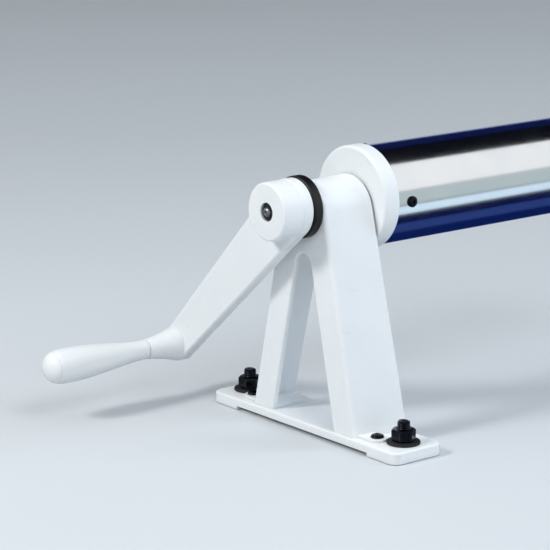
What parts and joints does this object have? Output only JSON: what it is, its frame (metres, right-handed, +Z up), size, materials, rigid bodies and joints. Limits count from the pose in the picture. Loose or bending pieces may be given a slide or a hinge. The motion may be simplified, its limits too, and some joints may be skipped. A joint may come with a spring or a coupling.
{
  "type": "roller tube reel crank end",
  "caption": "Crank end of a roller-tube reel: an A-shaped stand on a bolted base plate carries a large tube, wound by a side crank with a turning grip.",
  "frame": {"origin": "middle of the base plate's underside, under the turning axis", "axes": "+X along the turning axis from the crank towards the tube's open end, +Z up, +Y to the side the crank handle hangs on at rest"},
  "size_m": [0.4997, 0.2597, 0.214],
  "materials": {
    "white_moulding": "satin injection moulded",
    "black_nylon": "moulded nylon",
    "black_rubber": "moulded rubber",
    "polished_aluminium": "bright polished",
    "stainless_steel": "machined",
    "blackened_steel": "black oxide"
  },
  "bodies": {
    "stand": {"base_plate": "white_moulding", "stand_shell": "white_moulding", "tab_screw_right": "blackened_steel", "tab_screw_left": "blackened_steel", "sole_screw_right": "stainless_steel", "sole_screw_left": "stainless_steel", "anchor_stud_right": "blackened_steel", "anchor_stud_left": "blackened_steel", "anchor_washer_right": "black_rubber", "anchor_washer_left": "black_rubber", "anchor_nut_right": "blackened_steel", "anchor_nut_left": "blackened_steel", "front_bush": "black_nylon", "rear_bush": "black_nylon"},
    "reel": {"axle": "stainless_steel", "axle_cross_pin": "stainless_steel", "thrust_washer": "stainless_steel", "crank_arm": "white_moulding", "crank_washer": "black_rubber", "crank_screw": "stainless_steel", "grip_spindle": "stainless_steel", "grip_retainer": "stainless_steel", "end_cap": "white_moulding", "tube": "polished_aluminium", "tube_screw_1": "blackened_steel", "tube_screw_2": "blackened_steel", "tube_screw_3": "blackened_steel"},
    "grip": {"handle_grip": "white_moulding", "grip_end_plug": "white_moulding"}
  },
  "joints": [
    {"name": "crank_turn", "type": "hinge", "parent": "stand", "child": "reel", "pos_m": [0, 0, 0.174], "axis": [1, 0, 0], "continuous": true},
    {"name": "grip_spin", "type": "hinge", "parent": "reel", "child": "grip", "pos_m": [-0.1, 0.13782, 0.04321], "axis": [1, 0, 0], "continuous": true}
  ]
}
